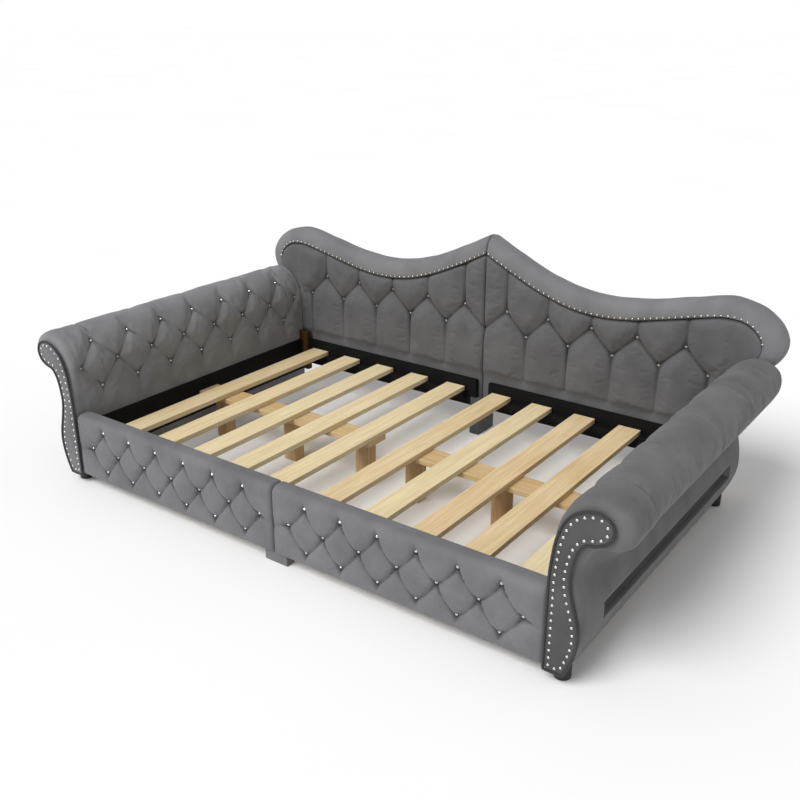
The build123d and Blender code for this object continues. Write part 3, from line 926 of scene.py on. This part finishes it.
def nickel_plate():
    """Nickel plate on pressed steel: bright and nearly smooth, a little cloudy from handling."""
    material, tree, surface = new_material("nickel_plated_steel")
    place = add_node(tree, "ShaderNodeTexCoord").outputs["Object"]
    cloud = add_node(tree, "ShaderNodeTexNoise", {"Vector": place, "Scale": 1 / (2 * mm), "Detail": 2.0})
    dull = add_node(tree, "ShaderNodeMapRange", {
        "Value": cloud.outputs["Fac"], "To Min": 0.16, "To Max": 0.34
    })
    tint = add_node(tree, "ShaderNodeValToRGB", {"Fac": cloud.outputs["Fac"]})
    tint.color_ramp.elements[0].color = paint("#c9c8c4")
    tint.color_ramp.elements[1].color = paint("#e6e5e1")
    shader = add_node(tree, "ShaderNodeBsdfPrincipled", {
        "Base Color": tint.outputs["Color"], "Metallic": 1.0, "Roughness": dull.outputs["Result"],
    })
    tree.links.new(shader.outputs["BSDF"], surface)
    return material


def foiled_glass():
    """Cut glass backed with foil, as in a rhinestone: the foil makes it mirror-bright and each facet
    catches the light on its own; a faint swirl in the glass."""
    material, tree, surface = new_material("foil_backed_glass")
    place = add_node(tree, "ShaderNodeTexCoord").outputs["Object"]
    swirl = add_node(tree, "ShaderNodeTexNoise", {
        "Vector": place, "Scale": 1 / (4 * mm), "Distortion": 1.5
    })
    tint = add_node(tree, "ShaderNodeValToRGB", {"Fac": swirl.outputs["Fac"]})
    tint.color_ramp.elements[0].color = paint("#c4c8cf")
    tint.color_ramp.elements[1].color = paint("#f2f4f8")
    shader = add_node(tree, "ShaderNodeBsdfPrincipled", {
        "Base Color": tint.outputs["Color"], "Metallic": 0.75, "Roughness": 0.12, "Coat Weight": 0.6,
    })
    tree.links.new(shader.outputs["BSDF"], surface)
    return material


def islands(node):
    """The centre of each loose part of a CAD node, in metres, and the direction of its shortest side."""
    shape = bmesh.new()
    shape.from_mesh(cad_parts[node].data)
    bmesh.ops.remove_doubles(shape, verts=shape.verts, dist=0.01 * mm)
    unseen = set(shape.verts)
    found = []
    while unseen:
        reached = [unseen.pop()]
        for vertex in reached:
            for edge in vertex.link_edges:
                other = edge.other_vert(vertex)
                if other in unseen:
                    unseen.remove(other)
                    reached.append(other)
        points = np.array([vertex.co for vertex in reached])
        centre = (points.min(0) + points.max(0)) / 2
        found.append((centre, np.linalg.eigh(np.cov(points.T))[1][:, 0]))
    shape.free()
    return sorted(found, key=lambda part: tuple(part[0]))


def stud_seats(name, node, front, cover=None, sink=0.0):
    """One point for each stud of a CAD node, with the direction it faces. With a cover, each is moved
    on to the cover's surface; a sink sets it deeper."""
    above, aside = 60 * mm, 5 * mm
    places = []
    facings = []
    for centre, axis in islands(node):
        facing = Vector(axis if axis @ np.array(front) > 0 else -axis)
        place = Vector(centre)
        if cover is not None:
            side = facing.orthogonal().normalized() * aside
            hits = []
            for step in range(6):
                start = place + Matrix.Rotation(step * math.pi / 3, 3, facing) @ side + facing * above
                hit, spot, _, _ = cover.ray_cast(start, -facing, distance=150 * mm)
                if hit:
                    hits.append((spot - start).dot(facing) + above)
            place += facing * (float(np.mean(hits)) if hits else 0.0)
        places.append(place - facing * sink)
        facings.append(facing)
    mesh = bpy.data.meshes.new(name)
    mesh.from_pydata(places, [], [])
    attribute = mesh.attributes.new("facing", "FLOAT_VECTOR", "POINT")
    attribute.data.foreach_set("vector", np.array(facings).ravel())
    return mesh


def place_on_seats(tree, given, made, stud):
    """Sets a stud of unit radius on every point, turned to its facing and scaled to the radius."""
    facing = add_node(tree, "GeometryNodeInputNamedAttribute", {"Name": "facing"}, data_type="FLOAT_VECTOR")
    turned = add_node(tree, "FunctionNodeAlignRotationToVector", {
        "Vector": facing.outputs["Attribute"]
    }, axis="Z")
    spread = add_node(tree, "GeometryNodeInstanceOnPoints", {
        "Points": given["Geometry"], "Instance": stud, "Rotation": turned.outputs["Rotation"],
        "Scale": given["Radius"],
    })
    real = add_node(tree, "GeometryNodeRealizeInstances", {"Geometry": spread.outputs["Instances"]})
    tree.links.new(real.outputs["Geometry"], made)


def nail_tree(material):
    """Domed nail heads: the dome's height is a share of its radius."""
    tree, given, made = new_geometry_tree("domed_nails", ["Radius", "Dome Share"])
    ball = add_node(tree, "GeometryNodeMeshUVSphere", {"Segments": 10, "Rings": 5, "Radius": 1.0})
    scale = add_node(tree, "ShaderNodeCombineXYZ", {"X": 1.0, "Y": 1.0, "Z": given["Dome Share"]})
    dome = add_node(tree, "GeometryNodeTransform", {
        "Geometry": ball.outputs["Mesh"], "Scale": scale.outputs["Vector"]
    })
    smooth = add_node(tree, "GeometryNodeSetShadeSmooth", {"Geometry": dome.outputs["Geometry"]})
    plated = add_node(tree, "GeometryNodeSetMaterial", {
        "Geometry": smooth.outputs["Geometry"], "Material": material
    })
    place_on_seats(tree, given, made, plated.outputs["Geometry"])
    return tree


def button_tree(metal, glass):
    """Cut-glass buttons: a plated cup, and a faceted stone that stands out of it."""
    tree, given, made = new_geometry_tree("glass_buttons", ["Radius", "Stone Height"])
    cup = add_node(tree, "GeometryNodeMeshCone", {
        "Vertices": 12, "Radius Top": 0.92, "Radius Bottom": 1.0, "Depth": 0.35
    })
    plated = add_node(tree, "GeometryNodeSetMaterial", {"Geometry": cup.outputs["Mesh"], "Material": metal})
    stone = add_node(tree, "GeometryNodeMeshCone", {
        "Vertices": 8, "Radius Top": 0.42, "Radius Bottom": 0.84, "Depth": given["Stone Height"]
    })
    lifted = add_node(tree, "GeometryNodeTransform", {
        "Geometry": stone.outputs["Mesh"], "Translation": (0, 0, 0.3)
    })
    cut = add_node(tree, "GeometryNodeSetMaterial", {
        "Geometry": lifted.outputs["Geometry"], "Material": glass
    })
    both = add_node(tree, "GeometryNodeJoinGeometry")
    for part in (plated, cut):
        tree.links.new(part.outputs["Geometry"], both.inputs["Geometry"])
    place_on_seats(tree, given, made, both.outputs["Geometry"])
    return tree


nickel = nickel_plate()
nails = nail_tree(nickel)
buttons = button_tree(nickel, foiled_glass())
button_radius = 5.4
for side, sign in (("right", 1), ("left", -1)):
    for piece_name, node, radius, sink in (
        ("scroll_nails", "arm_nailheads", 5.0, 0.4), ("back_nails", "back_nailheads", 4.3, -0.6)
    ):
        seats = stud_seats(piece_name, f"{node}_{side}", (0, -1, 0), sink=sink * mm)
        shape = {"Radius": radius * mm, "Dome Share": 0.5}
        row = run_tree(f"{piece_name}_{side}", seats, nails, **shape)
        fix(row, "polished_nails", f"{node}_{side}")
    for piece_name, node, cover_name, front in (
        ("rail_buttons", "front_rail_buttons", "rail_cover", (0, -1, 0)),
        ("arm_buttons", "arm_buttons", "arm_cover", (-sign, 0, 0.3)),
        ("back_buttons", "back_buttons", "back_panel", (0, -1, 0)),
    ):
        cover = bpy.data.objects[f"{cover_name}_{side}"]
        seats = stud_seats(piece_name, f"{node}_{side}", front, cover)
        shape = {"Radius": button_radius * mm, "Stone Height": 0.5}
        row = run_tree(f"{piece_name}_{side}", seats, buttons, **shape)
        fix(row, "crystal_buttons", f"{node}_{side}")


# ---- Slats ----
# Ten sawn and sanded poplar boards, with eased edges, a little warp and the grain along the length.
# They lie loose on the ledges and on the supports under their middle.

def sanded_timber(name, grain_axis, late_wood, early_wood, cast, board_pitch=None):
    """Sanded, unfinished timber: matt, with bands of early and late wood 12 mm apart drawn out along the
    board, fine pores, and a cast that differs from board to board."""
    material, tree, surface = new_material(name)
    place = add_node(tree, "ShaderNodeTexCoord").outputs["Object"]
    across, lengthwise = 1 / (12 * mm), 1 / (260 * mm)
    band_scale = [lengthwise if axis == grain_axis else across for axis in range(3)]
    drawn_out = add_node(tree, "ShaderNodeMapping", {"Vector": place, "Scale": band_scale})
    bands = add_node(tree, "ShaderNodeTexNoise", {
        "Vector": drawn_out.outputs["Vector"], "Scale": 1.0, "Detail": 4.0, "Distortion": 0.6
    })
    pore_scale = [1 / (40 * mm) if axis == grain_axis else 1 / (1.6 * mm) for axis in range(3)]
    pore_place = add_node(tree, "ShaderNodeMapping", {"Vector": place, "Scale": pore_scale})
    pores = add_node(tree, "ShaderNodeTexNoise", {
        "Vector": pore_place.outputs["Vector"], "Scale": 1.0, "Detail": 2.0
    })
    grain = add_node(tree, "ShaderNodeMix", {
        0: 0.3, 2: bands.outputs["Fac"], 3: pores.outputs["Fac"]
    }, data_type="FLOAT")
    tint = add_node(tree, "ShaderNodeValToRGB", {"Fac": grain.outputs[0]})
    tint.color_ramp.elements[0].position = 0.36
    tint.color_ramp.elements[0].color = paint(late_wood)
    tint.color_ramp.elements[1].position = 0.62
    tint.color_ramp.elements[1].color = paint(early_wood)
    patch = add_node(tree, "ShaderNodeTexNoise", {"Vector": place, "Scale": 1 / (300 * mm), "Detail": 1.0})
    shade = patch.outputs["Fac"]
    if board_pitch:
        split = add_node(tree, "ShaderNodeSeparateXYZ", {"Vector": place})
        number = add_node(tree, "ShaderNodeMath", {
            0: split.outputs["X"], 1: board_pitch * mm
        }, operation="DIVIDE")
        whole = add_node(tree, "ShaderNodeMath", {0: number.outputs[0]}, operation="FLOOR")
        own = add_node(tree, "ShaderNodeTexWhiteNoise", {"W": whole.outputs[0]}, noise_dimensions="1D")
        shade = add_node(tree, "ShaderNodeMath", {
            0: own.outputs["Value"], 1: shade
        }, operation="MULTIPLY").outputs[0]
    tinted = add_node(tree, "ShaderNodeMix", {
        0: add_node(tree, "ShaderNodeMath", {0: shade, 1: 0.9}, operation="MULTIPLY").outputs[0],
        6: tint.outputs["Color"], 7: paint(cast),
    }, data_type="RGBA", blend_type="MULTIPLY")
    bump = add_node(tree, "ShaderNodeBump", {
        "Height": grain.outputs[0], "Strength": 0.25, "Distance": 0.4 * mm
    })
    shader = add_node(tree, "ShaderNodeBsdfPrincipled", {
        "Base Color": tinted.outputs[2], "Roughness": 0.68, "Specular IOR Level": 0.3,
        "Normal": bump.outputs["Normal"],
    })
    tree.links.new(shader.outputs["BSDF"], surface)
    return material


def ease_edges(piece, width):
    """Sanded-over edges."""
    ease = piece.modifiers.new("eased_edges", "BEVEL")
    ease.width = width * mm
    ease.segments = 2
    ease.limit_method = "ANGLE"
    ease.angle_limit = math.radians(40)
    ease.harden_normals = True


def board_tree(material):
    """A sawn board with a slight warp along its length."""
    tree, given, made = new_geometry_tree("sawn_board", ["Length", "Width", "Thickness", "Warp", "Seed"])
    size = add_node(tree, "ShaderNodeCombineXYZ", {
        "X": given["Width"], "Y": given["Length"], "Z": given["Thickness"]
    })
    board = add_node(tree, "GeometryNodeMeshCube", {
        "Size": size.outputs["Vector"], "Vertices X": 5, "Vertices Y": 41, "Vertices Z": 2
    })
    place = add_node(tree, "GeometryNodeInputPosition")
    start = add_node(tree, "ShaderNodeCombineXYZ", {"X": given["Seed"]})
    moved = add_node(tree, "ShaderNodeVectorMath", {
        0: place.outputs["Position"], 1: start.outputs["Vector"]
    })
    wander = add_node(tree, "ShaderNodeTexNoise", {
        "Vector": moved.outputs["Vector"], "Scale": 1.6, "Detail": 1.0
    })
    centred = add_node(tree, "ShaderNodeMath", {0: wander.outputs["Fac"], 1: 0.5}, operation="SUBTRACT")
    height = add_node(tree, "ShaderNodeMath", {
        0: centred.outputs[0], 1: given["Warp"]
    }, operation="MULTIPLY")
    shift = add_node(tree, "ShaderNodeCombineXYZ", {"Z": height.outputs[0]})
    warped = add_node(tree, "GeometryNodeSetPosition", {
        "Geometry": board.outputs["Mesh"], "Offset": shift.outputs["Vector"]
    })
    seats = add_node(tree, "GeometryNodeInstanceOnPoints", {
        "Points": given["Geometry"], "Instance": warped.outputs["Geometry"]
    })
    real = add_node(tree, "GeometryNodeRealizeInstances", {"Geometry": seats.outputs["Instances"]})
    dressed = add_node(tree, "GeometryNodeSetMaterial", {
        "Geometry": real.outputs["Geometry"], "Material": material
    })
    tree.links.new(dressed.outputs["Geometry"], made)
    return tree


slat_timber = sanded_timber("sanded_poplar_slats", 1, "#d6c297", "#e8d8b2", "#e8cdb4", board_pitch=190.5)
slat_board = board_tree(slat_timber)
slat_count = 10
for number in range(1, slat_count + 1):
    node = f"slat_{number:02d}"
    low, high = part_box(node)
    seat = bpy.data.meshes.new("slat_seat")
    seat.from_pydata([(low + high) / 2], [], [])
    slat = run_tree(
        f"poplar_{node}", seat, slat_board, Length=high.y - low.y, Width=high.x - low.x,
        Thickness=high.z - low.z, Warp=3 * mm, Seed=float(number),
    )
    ease_edges(slat, 2.0)
    fix(slat, "pine_slats", node)


# ---- Middle supports, legs and posts ----
# Two sawn poplar boards run under the middle of the slats, and three square legs carry each of them.
# Brown stained posts stand in the rear corners.

def planed_copy(name, node, material, slot, edge):
    """The CAD part with its flat faces joined up and its edges eased."""
    shape = bmesh.new()
    shape.from_mesh(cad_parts[node].data)
    bmesh.ops.remove_doubles(shape, verts=shape.verts, dist=0.01 * mm)
    bmesh.ops.dissolve_limit(shape, angle_limit=math.radians(1), verts=shape.verts, edges=shape.edges)
    bmesh.ops.recalc_face_normals(shape, faces=shape.faces)
    mesh = bpy.data.meshes.new(name)
    shape.to_mesh(mesh)
    shape.free()
    mesh.materials.append(material)
    piece = bpy.data.objects.new(name, mesh)
    bpy.context.scene.collection.objects.link(piece)
    ease_edges(piece, edge)
    return fix(piece, slot, node)


support_timber = sanded_timber("sanded_poplar_supports", 0, "#c6ae81", "#d8c49b", "#e4c8aa")
leg_timber = sanded_timber("sanded_poplar_legs", 2, "#b89d73", "#cdb58b", "#dcbc9e")
post_timber = sanded_timber("brown_stained_posts", 2, "#33200c", "#5d4520", "#b59c70")
for side in ("right", "left"):
    planed_copy(f"middle_support_{side}", f"centre_support_{side}", support_timber, "pine_supports", 2.0)
    planed_copy(f"middle_legs_{side}", f"support_legs_{side}", leg_timber, "pine_supports", 2.0)
    planed_copy(f"rear_post_{side}", f"corner_post_{side}", post_timber, "pine_posts", 1.5)


# ---- Black boards and ledges ----
# Particle board under a black printed paper: side boards inside the arms, rails under the back, and the
# ledges that carry the slats.

def black_foil_board():
    """Particle board with black melamine paper: dark satin, pressed with a faint stretched grain."""
    material, tree, surface = new_material("black_melamine_board")
    place = add_node(tree, "ShaderNodeTexCoord").outputs["Object"]
    drawn_out = add_node(tree, "ShaderNodeMapping", {"Vector": place, "Scale": (8.0, 8.0, 260.0)})
    grain = add_node(tree, "ShaderNodeTexNoise", {
        "Vector": drawn_out.outputs["Vector"], "Scale": 1.0, "Detail": 3.0
    })
    tint = add_node(tree, "ShaderNodeValToRGB", {"Fac": grain.outputs["Fac"]})
    tint.color_ramp.elements[0].color = paint("#050505")
    tint.color_ramp.elements[1].color = paint("#0b0b0c")
    bump = add_node(tree, "ShaderNodeBump", {
        "Height": grain.outputs["Fac"], "Strength": 0.2, "Distance": 0.3 * mm
    })
    shader = add_node(tree, "ShaderNodeBsdfPrincipled", {
        "Base Color": tint.outputs["Color"], "Roughness": 0.7, "Specular IOR Level": 0.2,
        "Normal": bump.outputs["Normal"],
    })
    tree.links.new(shader.outputs["BSDF"], surface)
    return material


black_board = black_foil_board()
for side in ("right", "left"):
    for name in ("side_board", "rear_rail", "front_slat_ledge", "rear_slat_ledge"):
        planed_copy(f"black_{name}_{side}", f"{name}_{side}", black_board, "black_board", 1.0)


# ---- Legs at the seams ----
# Two solid blocks stand where the halves meet. The low one under the front seam is wrapped in the velvet,
# and the taller one behind carries both rear rails.

def leg_cloth():
    """The same velvet in a tight wrap round the rear leg, painted darker as painted shade, since the leg
    stands away from the light.
    """
    material, tree, surface = new_material("velvet_painted_shade_wrap")
    place = add_node(tree, "ShaderNodeTexCoord").outputs["Object"]
    pile = add_node(tree, "ShaderNodeTexNoise", {"Vector": place, "Scale": 1 / (2 * mm), "Detail": 2.0})
    tint = add_node(tree, "ShaderNodeValToRGB", {"Fac": pile.outputs["Fac"]})
    tint.color_ramp.elements[0].color = paint("#34373a")
    tint.color_ramp.elements[1].color = paint("#484b4e")
    bump = add_node(tree, "ShaderNodeBump", {
        "Height": pile.outputs["Fac"], "Strength": 0.3, "Distance": 0.5 * mm
    })
    shader = add_node(tree, "ShaderNodeBsdfPrincipled", {
        "Base Color": tint.outputs["Color"], "Roughness": 0.85, "Sheen Weight": 0.15,
        "Normal": bump.outputs["Normal"],
    })
    tree.links.new(shader.outputs["BSDF"], surface)
    return material


planed_copy("wrapped_front_leg", "front_centre_leg", velvet, "grey_upholstery", 3.0)
planed_copy("wrapped_rear_leg", "rear_centre_leg", leg_cloth(), "black_board", 3.0)


# ---- Glides, bolts and brackets ----
# Moulded plastic glides sit under the ends of the arms. Bolts and angles of blackened steel hold the
# side boards and the rails together.

def moulded_plastic():
    """Injection-moulded polypropylene: black, satin, with a fine spark-eroded texture."""
    material, tree, surface = new_material("black_moulded_plastic")
    place = add_node(tree, "ShaderNodeTexCoord").outputs["Object"]
    grit = add_node(tree, "ShaderNodeTexNoise", {"Vector": place, "Scale": 1 / (0.8 * mm), "Detail": 2.0})
    tint = add_node(tree, "ShaderNodeValToRGB", {"Fac": grit.outputs["Fac"]})
    tint.color_ramp.elements[0].color = paint("#0d0d0e")
    tint.color_ramp.elements[1].color = paint("#1a1a1b")
    bump = add_node(tree, "ShaderNodeBump", {
        "Height": grit.outputs["Fac"], "Strength": 0.25, "Distance": 0.2 * mm
    })
    shader = add_node(tree, "ShaderNodeBsdfPrincipled", {
        "Base Color": tint.outputs["Color"], "Roughness": 0.42, "Normal": bump.outputs["Normal"],
    })
    tree.links.new(shader.outputs["BSDF"], surface)
    return material


def blackened_steel():
    """Cold-rolled steel with a black oxide finish: dark metal, semi-matt, a little oily in patches."""
    material, tree, surface = new_material("black_oxide_steel")
    place = add_node(tree, "ShaderNodeTexCoord").outputs["Object"]
    patch = add_node(tree, "ShaderNodeTexNoise", {"Vector": place, "Scale": 1 / (6 * mm), "Detail": 3.0})
    dull = add_node(tree, "ShaderNodeMapRange", {
        "Value": patch.outputs["Fac"], "To Min": 0.35, "To Max": 0.6
    })
    tint = add_node(tree, "ShaderNodeValToRGB", {"Fac": patch.outputs["Fac"]})
    tint.color_ramp.elements[0].color = paint("#3a3a3c")
    tint.color_ramp.elements[1].color = paint("#58585b")
    shader = add_node(tree, "ShaderNodeBsdfPrincipled", {
        "Base Color": tint.outputs["Color"], "Metallic": 1.0, "Roughness": dull.outputs["Result"],
    })
    tree.links.new(shader.outputs["BSDF"], surface)
    return material


steel = blackened_steel()
planed_copy("moulded_glides", "glide_feet", moulded_plastic(), "black_plastic", 3.0)
planed_copy("hex_bolts", "frame_bolts", steel, "black_steel", 0.6)
planed_copy("corner_angles", "corner_brackets", steel, "black_steel", 0.6)


# ---- Hidden timber ----
# Plywood panels and softwood battens inside the padding: the foam is glued on and the covers are stapled
# to them. They show only from below and behind.

frame_timber = sanded_timber("plywood_frame", 0, "#b99a68", "#d5bb8b", "#e0c6a2")
for side in ("right", "left"):
    for name in ("arm_frame", "back_frame", "front_rail_board"):
        piece = planed_copy(f"timber_{name}_{side}", f"{name}_{side}", frame_timber, "frame_wood", 1.0)
        if name == "back_frame":
            # The velvet is turned round the outer end of the back.
            piece.data.materials.append(back_velvet)
            for face in piece.data.polygons:
                face.material_index = int(abs(face.normal.x) > 0.9 and abs(face.center.x) > half_length * mm)
